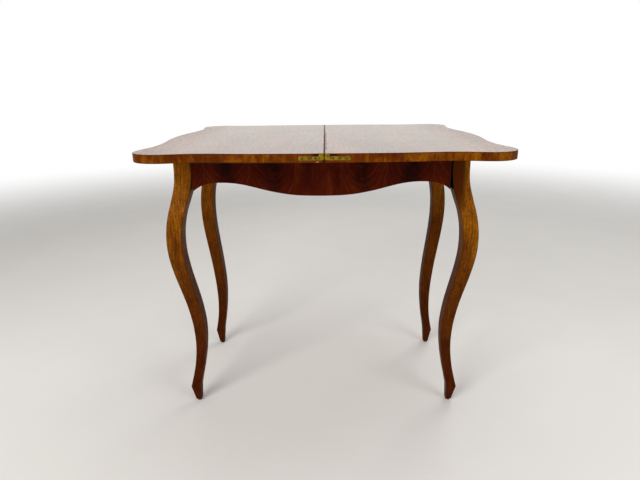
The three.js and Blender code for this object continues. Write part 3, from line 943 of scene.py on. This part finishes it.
def leafQuarter(inset):
    endY = table["leafLength"] / 2 - inset
    sideX = table["leafWidth"] - inset
    radius = leaf["corner"] - inset
    steps = leaf["waveSteps"]
    sideRun = endY - radius
    side = [(sideX - dip * leaf["sideHollow"], run * sideRun) for run, dip in leaf["sideLine"]]
    sideLine = through(side, steps)[::-1]
    endRun = sideLine[0][0] - radius
    points = []
    for i in range(steps + 1):
        share = i / steps
        x = table["seamFace"] + share * (endRun - table["seamFace"])
        dip = math.sin(math.pi * share ** leaf["endLean"]) ** 2
        points.append((x, endY - leaf["endHollow"] * dip))
    points += arc(endRun, sideRun, radius, 1 / 4, 0, leaf["cornerSteps"])[1:]
    return points + [tuple(point) for point in sideLine[1:]]


def leafOutline(inset):
    back = leafQuarter(inset)
    return [(x, -y) for x, y in back[:-1]] + back[::-1]


hinge = {
    "reach": 54,
    "drop": 6,
    "height": 8.2,
    "thick": 3,
    "lobe": 11.5,
    "lobeRadius": 4.5,
    "noseRadius": 4.2,
    "endRadius": 3,
    "recess": 0.2,
    "link": 2,
    "bedEnd": 390,
    "slotEnd": 387,
    "screwShares": (0.34, 0.59, 0.84),
    "screwShank": 1.5,
    "screwHead": 2.7,
    "screwHeadDepth": 1.6,
    "screwLength": 15,
    "screwSlot": (0.8, 0.3),  # its depth and half its width
    "screwTurn": 0.9,  # each screw stands this much further round than the one before
    "round": 0.35,
}
pinX, pinZ = table["pinPlace"]
strapTop = table["height"] - hinge["drop"]
strapUnder = strapTop - hinge["height"]
strapFace = table["leafLength"] / 2 - hinge["recess"]
strapBack = strapFace - hinge["thick"]
linkFace = strapBack - gap
linkBack = linkFace - hinge["link"]
linkRadius = table["pinDepth"] - gap
slotRun = 2 * pinX * (math.sqrt(2) - 1)


def seamCutter():
    # rounds the mouth of the seam to the pin's circle
    top = table["height"] + past
    outline = [(-past, pinZ)] + arc(pinX, pinZ, table["pinDepth"], 1 / 2, 1 / 4, 10)
    outline += [(pinX, top), (-past, top)]
    return sawn("cutter", outline, "Y", -hinge["bedEnd"], hinge["bedEnd"])


def hingeBeds(end):
    # cutters for the strap, its lobe and the link behind them
    top = table["height"] + past
    deep = sorted((end * (strapBack - gap), end * hinge["bedEnd"]))
    slot = sorted((end * (linkBack - gap), end * hinge["slotEnd"]))
    low = strapUnder - gap
    farX = pinX + slotRun + linkRadius + gap
    linkLow = pinZ - slotRun - linkRadius - gap
    return [
        block("cutter", (-past, hinge["reach"] + gap), deep, (low, strapTop + gap)),
        block("cutter", (-past, hinge["lobe"] + gap), deep, (low, top)),
        block("cutter", (-past, farX), slot, (linkLow, top)),
    ]


def rimAt(height):
    # a test for edges that lie at this height and aren't on the seam
    high, low, seam = above(2, height), below(2, height), below(0, 1)
    return lambda edge: high(edge) and low(edge) and not seam(edge) and edge.is_manifold


def isSeamArris(edge):
    # the short upright edge beside the seam, under the hinge
    points = [vert.co for vert in edge.verts]
    nearEnd = (table["leafLength"] / 2 - 0.5) * mm
    beside = all(abs(point.x - table["seamFace"] * mm) < 0.05 * mm for point in points)
    atEnd = all(abs(point.y) > nearEnd for point in points)
    return beside and atEnd and edge.calc_length() > 2 * mm


def makeLeaves():
    top = table["height"]
    under = top - table["leafThick"]
    over = top - table["veneer"]
    sheet = sawn("sheet", leafOutline(0), "Z", over, top)
    easeEdges(sheet, rimAt(top), leaf["topRound"])
    cutWith(sheet, seamCutter(), *hingeBeds(1), *hingeBeds(-1))
    rims = []
    for low in (under, under + table["veneer"]):
        rim = sawn("rim", leafOutline(0), "Z", low, over)
        if low == under:
            easeEdges(rim, rimAt(under), leaf["underRound"])
        inside = sawn("cutter", leafOutline(table["banding"]), "Z", low - past, over + past)
        cutWith(rim, inside, seamCutter(), *hingeBeds(1), *hingeBeds(-1))
        easeEdges(rim, isSeamArris, leaf["seamRound"], 2)
        rims.append(rim)
    outer = sawn("outer", leafOutline(0), "Z", under, under + table["veneer"])
    easeEdges(outer, rimAt(under), leaf["topRound"])
    for side, layer, pattern, material, slot in (
        ("lower", "playing_veneer", sheet, lowerVeneer, "leaf_veneer"),
        ("upper", "playing_veneer", sheet, upperVeneer, "leaf_veneer"),
        ("lower", "banding", rims[0], banding, "edge_banding"),
        ("upper", "banding", rims[1], banding, "edge_banding"),
        ("upper", "outer_veneer", outer, upperVeneer, "leaf_veneer"),
    ):
        sides = (1 if side == "lower" else -1, 1)
        fit(pattern, sides, material, f"{side}_leaf", f"{side}_leaf_{layer}")
    drop(sheet, outer, *rims)


makeLeaves()
print("leaves made")


def screwPlaces():
    z = strapTop - hinge["height"] / 2
    return [(share * hinge["reach"], z) for share in hinge["screwShares"]]


def makeStrap():
    top = table["height"]
    end, lobe, nose = hinge["endRadius"], hinge["lobeRadius"], hinge["noseRadius"]
    endX = hinge["reach"] - end
    outline = [(table["seamFace"], strapUnder)]
    outline += arc(endX, strapUnder + end, end, 3 / 4, 1, 8)
    outline += arc(endX, strapTop - end, end, 0, 1 / 4, 8)
    outline += [(hinge["lobe"], strapTop)]
    outline += arc(hinge["lobe"] - lobe, top - lobe, lobe, 0, 1 / 4, 10)
    outline += arc(table["seamFace"] + nose, top - nose, nose, 1 / 4, 1 / 2, 12)
    strap = sawn("strap", outline, "Y", strapBack, strapFace)
    easeEdges(strap, above(1, strapFace), hinge["round"], 2)
    pinHole = rod("cutter", table["pinRadius"] + gap, (pinX, pinZ), strapBack - 1, strapFace + 1)
    cutWith(strap, pinHole)
    shank, head = hinge["screwShank"] + gap, hinge["screwHead"] + gap
    sink = strapFace - hinge["screwHeadDepth"]
    for place in screwPlaces():
        headHole = rod("cutter", shank, place, sink, strapFace + 0.01, farRadius=head)
        shankHole = rod("cutter", shank, place, strapBack - 1, strapFace - 1)
        cutWith(strap, headHole, shankHole)
    return strap


def makeScrew():
    # a countersunk head with one slot, a shank and a point
    half, radius, length = hinge["screwHead"], hinge["screwShank"], hinge["screwLength"]
    neck = strapFace - hinge["screwHeadDepth"]
    slotDepth, slotHalf = hinge["screwSlot"]
    screw = rod("screw", radius, (0, 0), neck, strapFace, farRadius=half, sides=28)
    pick(screw, "FACE", lambda part: part.normal.y < -0.9)
    extrude((0, -(length - 2 * radius - hinge["screwHeadDepth"]), 0))
    extrude((0, -2 * radius, 0))
    tip = (0, (strapFace - length) * mm, 0)
    bpy.ops.transform.resize(value=(0.08, 1, 0.08), center_override=tip)
    leaveEdit()
    easeEdges(screw, above(1, strapFace), 0.25, 2)
    deep = (strapFace - slotDepth, strapFace + 1)
    return cutWith(screw, block("cutter", (-half - 1, half + 1), deep, (-slotHalf, slotHalf)))


def oblong(far, radius, steps, nearX=pinX):
    # an outline with round ends, at the height of the pins
    right = arc(nearX, pinZ, radius, -1 / 4, 1 / 4, steps)
    return right + arc(far, pinZ, radius, 1 / 4, 3 / 4, steps)


def makeLink():
    # round at both ends, with an eye on the lower pin and a slot on the upper one
    far = -pinX - slotRun
    link = sawn("link", oblong(far, linkRadius, 14), "Y", linkBack, linkFace)
    hole = table["pinRadius"] + gap
    slot = sawn("cutter", oblong(far, hole, 12, -pinX), "Y", linkBack - 1, linkFace + 1)
    cutWith(link, rod("cutter", hole, (pinX, pinZ), linkBack - 1, linkFace + 1), slot)
    easeEdges(link, lambda edge: isSharp(edge, 1.2), 0.15, 1)
    return link


def makeHinges():
    strap, screw, link = makeStrap(), makeScrew(), makeLink()
    pin = rod("pin", table["pinRadius"], (pinX, pinZ), linkBack, strapFace, sides=28)
    easeEdges(pin, above(1, strapFace), 0.4, 3)
    ends = {"rear": 1, "front": -1}
    count = 0
    for body, side in (("lower_leaf", 1), ("upper_leaf", -1)):
        for end, depthSide in ends.items():
            sides = (side, depthSide)
            node = f"{body}_{end}_hinge"
            fit(strap, sides, brass, body, f"{node}_strap")
            fit(pin, sides, iron, body, f"{node}_pin")
            for which, (x, z) in enumerate(screwPlaces(), 1):
                count += 1
                turned = copied(screw, "turned")
                turned.data.transform(Matrix.Rotation(hinge["screwTurn"] * count, 4, "Y"))
                turned.data.transform(Matrix.Translation((x * mm, 0, z * mm)))
                fit(turned, sides, screwBrass, body, f"{node}_screw_{which}")
                drop(turned)
    for end, depthSide in ends.items():
        # the links take the brass that is painted dark as shade
        fit(link, (1, depthSide), shadeDarkBrass, "hinge_links", f"{end}_hinge_link")
    drop(strap, screw, link, pin)


makeHinges()
print("hinges made")

leg = {
    "post": 44,
    "knee": 28.5,
    "sole": 16,
    "soleOut": 1,
    "glideHeight": 5,
    "glideRadius": 8,
    "glideFace": 6,
    "glideInset": 1.6,
    "steps": 72,
    "arris": 1.3,
    # height share, bow share and thickness share, from the top of the post down
    "line": (
        (1, 0, 1), (0.93, 0.01, 1), (0.89, 0.07, 1), (0.86, 0.21, 0.99), (0.82, 0.46, 0.95),
        (0.78, 0.72, 0.92), (0.73, 0.93, 0.91), (0.675, 1, 0.905), (0.62, 0.92, 0.89),
        (0.557, 0.68, 0.86), (0.487, 0.33, 0.82), (0.418, 0, 0.78), (0.348, -0.24, 0.74),
        (0.299, -0.33, 0.7), (0.25, -0.35, 0.65), (0.202, -0.28, 0.61), (0.153, -0.12, 0.585),
        (0.104, 0.14, 0.59), (0.072, 0.34, 0.62),
    ),
    "mortise": (8, 25, 60, 10),  # its thickness, depth, height and the shoulder above it
}


def legSections():
    # height, outer and inner side of each square section, from the foot up
    shares = [(h * table["frameTop"], b * leg["knee"], t * leg["post"]) for h, b, t in leg["line"]]
    sections = [(z, out, out - thick) for z, out, thick in through(shares, leg["steps"])]
    sections.append((leg["glideHeight"], leg["soleOut"], leg["soleOut"] - leg["sole"]))
    return sections[::-1]


def isLegArris(edge):
    upDown = abs((edge.verts[0].co - edge.verts[1].co).z) > 0.3 * mm
    return isSharp(edge, 1.1) and upDown


def makeLeg():
    # a square at the foot, raised section by section to the top of the post
    sections = legSections()
    outerX, outerY = table["postOuter"]
    low, out, inn = sections[0]
    xs, ys = (outerX + inn, outerX + out), (outerY + inn, outerY + out)
    post = block("leg", xs, ys, (low, sections[1][0]))
    pick(post, "FACE", lambda part: part.normal.z > 0.9)
    for (lastZ, lastOut, lastInn), (z, out, inn) in zip(sections, sections[1:]):
        if lastZ > low:
            extrude((0, 0, z - lastZ))
        move = ((out + inn) - (lastOut + lastInn)) / 2 * mm
        bpy.ops.transform.translate(value=(move, move, 0))
        grow = (out - inn) / (lastOut - lastInn)
        middle = (out + inn) / 2
        centre = ((outerX + middle) * mm, (outerY + middle) * mm, z * mm)
        bpy.ops.transform.resize(value=(grow, grow, 1), center_override=centre)
    leaveEdit()
    closeUp(post)
    easeEdges(post, isLegArris, leg["arris"])
    easeEdges(post, below(2, leg["glideHeight"]), 0.5, 2)
    # mortises for the tenons of the two aprons
    thick, deep, height, shoulder = leg["mortise"]
    top = table["frameTop"] - shoulder
    zs = (top - height - gap, top + gap)
    xs, ys = [(inner - past, inner + deep + gap) for inner in table["postInner"]]
    middles = [face - table["apronCore"] / 2 for face in table["apronOuter"]]
    half = thick / 2 + gap
    acrossX, acrossY = [(middle - half, middle + half) for middle in middles]
    return cutWith(post, block("cutter", xs, acrossY, zs), block("cutter", acrossX, ys, zs))


def makeGlide():
    # a driven domed stud under the foot
    height = leg["glideHeight"]
    middle = [outer + leg["soleOut"] - leg["sole"] / 2 for outer in table["postOuter"]]
    stud = rod("glide", leg["glideFace"], middle, 0, height, "Z", leg["glideRadius"])
    easeEdges(stud, below(2, 0), 1.2, 4)
    pick(stud, "FACE", lambda part: part.normal.z < -0.99)
    bpy.ops.mesh.inset(thickness=leg["glideInset"] * mm)
    leaveEdit()
    easeEdges(stud, above(2, height), 0.35, 2)
    return stud


def makeLegs():
    post, stud = makeLeg(), makeGlide()
    shift = (*table["frameMiddle"], 0)
    for end, y in (("front", -1), ("rear", 1)):
        for side, x in (("left", -1), ("right", 1)):
            place = f"{end}_{side}"
            fit(post, (x, y), legWalnut, "frame", f"leg_{place}", shift)
            fit(stud, (x, y), iron, "frame", f"glide_{place}", shift)
    drop(post, stud)


makeLegs()
print("legs made")

apron = {
    "depth": 114,
    "rise": 35,
    "steps": 96,
    "shrink": 3.4,
    "thick": 1.5,
    "round": 0.6,
    "easedBelow": 30,
    # run share of the half length and rise share of the arch
    "line": (
        (0, 0), (0.15, 0.03), (0.25, 0.11), (0.34, 0.25), (0.43, 0.43), (0.52, 0.65),
        (0.61, 0.85), (0.7, 0.97), (0.78, 1), (0.86, 0.96), (0.93, 0.8), (1, 0.4),
    ),
}


def apronOutline(halfLength, shrink):
    top = table["frameTop"]
    lobe = top - apron["depth"]
    right = [(run * halfLength, lobe + rise * apron["rise"]) for run, rise in apron["line"]]
    left = [(-x, z) for x, z in right[:0:-1]]
    line = through(left + right, apron["steps"])
    end = halfLength - shrink
    inside = [(x, z) for x, z in line if -halfLength < x < end]
    low = line[0][1]
    return [(-halfLength, low), *inside, (end, low), (end, top), (-halfLength, top)]


def makeApronVeneers():
    shift = (*table["frameMiddle"], 0)
    innerX, innerY = table["postInner"]
    faceX, faceY = table["apronOuter"]
    isLow = below(2, table["frameTop"] - apron["easedBelow"])
    for name, run, half, face, shrink, sides, material in (
        ("rear", "Y", innerX, faceY, 0, (1, 1), longFlame),
        ("front", "Y", innerX, faceY, apron["shrink"], (1, -1), longFlame),
        ("right", "X", innerY, faceX, 0, (1, 1), shortFlame),
        ("left", "X", innerY, faceX, 0, (-1, 1), shortFlame),
    ):
        outside = face + apron["thick"]
        isOuter = above("XY".index(run), outside)
        sheet = sawn("sheet", apronOutline(half, shrink), run, face, outside)
        easeEdges(sheet, lambda edge: isOuter(edge) and isLow(edge), apron["round"], 2)
        fit(sheet, sides, material, "frame", f"{name}_apron_veneer", shift)
        drop(sheet)


makeApronVeneers()
print("aprons made")

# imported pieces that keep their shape
glueBlocks = [f"glue_block_{end}_{side}" for end in ("front", "rear") for side in ("left", "right")]
keptLook = (
    (apronPineLong, ["front_apron", "rear_apron"]),
    (apronPineShort, ["left_apron", "right_apron"]),
    (pineBack, ["pivot_rail", "well_partition", "well_bottom"]),
    (pineAcross, ["well_ledge_rear", "well_ledge_front"]),
    (leafPine, ["lower_leaf_core", "upper_leaf_core"]),
    (pineUpright, glueBlocks),
    (legWalnut, ["swivel_stop"]),
    (iron, ["pivot_plate", "pivot_bolt", "pivot_washer", "pivot_nut"]),
)
for material, names in keptLook:
    for name in names:
        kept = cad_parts[name]
        kept.data.materials.clear()
        kept.data.materials.append(material)
print("kept pieces finished:", sum(len(names) for material, names in keptLook))

studio = {
    "floor": (0.74, 0.72, 0.69),
    "floorPatches": (0.6, 0.57, 0.53),
    "fade": (2.2, 5),
    "worldOnObject": 0.42,
    "roomReflected": 0.22,
    "wallReflected": 0.85,
    "reflectedColour": (1, 0.985, 0.95),
    "lens": 26.923,
    "cameraPlace": (0.0027, -1.36986, 0.86913),
    "cameraTurn": (72.2725, 0.5514, 0.5847),
    # place, target, size, watts and colour
    "lamps": {
        "keyLamp": ((-1.5, -2.2, 1.9), (0, 0, 0.45), (1.4, 1.2), 55, (1, 0.98, 0.95)),
        "fillLamp": ((1.9, -1.9, 1.4), (0, 0, 0.4), (1.4, 1.4), 22, (0.97, 0.98, 1)),
        "topLamp": ((0.2, 0.6, 2.6), (0, 0, 0.7), (2, 2), 16, (1, 1, 1)),
        "rearLamp": ((1.5, 2.1, 2.7), (0, 0, 0.4), (1.4, 1), 20, (1, 1, 1)),
    },
}


def makeFloor():
    # a pale floor that fades to white far away, for the camera alone
    bpy.ops.mesh.primitive_plane_add(size=60, location=(0, 0, 0))
    floor = settled("studioFloor")
    material, tree, shader = newMaterial("studio floor", Specular_IOR_Level=0.2)
    place = objectPlace(tree)
    mottle = noise(place, 5, 5, 0.6)
    patches = ranged(mottle, 0.3, 0.7, 0, 0.06)
    colour = blend(patches, studio["floor"], studio["floorPatches"])
    setShader(shader, Base_Color=colour, Roughness=ranged(mottle, 0.3, 0.7, 0.6, 0.75))
    far = calc("LENGTH", place, kind="VectorMath", result="Value")
    seen = add(tree, "LightPath").outputs["Is Camera Ray"]
    white = add(tree, "Emission", {"Color": (1, 1, 1, 1), "Strength": 1})
    inputs = {0: times(ranged(far, *studio["fade"]), seen), 1: shader.outputs[0]}
    mix = add(tree, "MixShader", {**inputs, 2: white.outputs[0]})
    wire(tree.nodes["Material Output"], {"Surface": mix.outputs[0]})
    floor.data.materials.append(material)


def makeWorld():
    # white to the camera, and in reflections bright behind the table and dim before it
    world = bpy.data.worlds.new("studio")
    world.use_nodes = True
    bpy.context.scene.world = world
    tree = world.node_tree
    path = add(tree, "LightPath").outputs
    direction = separated(add(tree, "TexCoord").outputs["Generated"])
    room, wall = studio["roomReflected"], studio["wallReflected"]
    reflected = largest(path["Is Glossy Ray"], path["Is Transmission Ray"])
    mirrored = times(reflected, ranged(direction["Y"], -0.25, 0.35, room, wall))
    plain = times(minus(1, reflected), studio["worldOnObject"])
    strength = largest(plus(mirrored, plain), path["Is Camera Ray"])
    colour = blend(reflected, (1, 1, 1), studio["reflectedColour"])
    wire(tree.nodes["Background"], {"Color": colour, "Strength": strength})


def makeLamps():
    for name, (place, target, lampSize, watts, colour) in studio["lamps"].items():
        light = bpy.data.lights.new(name, "AREA")
        light.shape = "RECTANGLE"
        light.size, light.size_y = lampSize
        light.energy = watts
        light.color = colour
        lamp = put(name, light)
        lamp.location = place
        look = Vector(target) - Vector(place)
        lamp.rotation_euler = look.to_track_quat("-Z", "Y").to_euler()


def makeCamera():
    data = bpy.data.cameras.new("photoCamera")
    data.sensor_width = 36
    data.lens = studio["lens"]
    data.clip_start = 0.05
    data.clip_end = 100
    camera = put("photoCamera", data)
    camera.location = studio["cameraPlace"]
    camera.rotation_euler = [math.radians(angle) for angle in studio["cameraTurn"]]
    bpy.context.scene.camera = camera


makeFloor()
makeWorld()
makeLamps()
makeCamera()
bpy.context.scene.view_settings.view_transform = "Standard"
print("stage set")
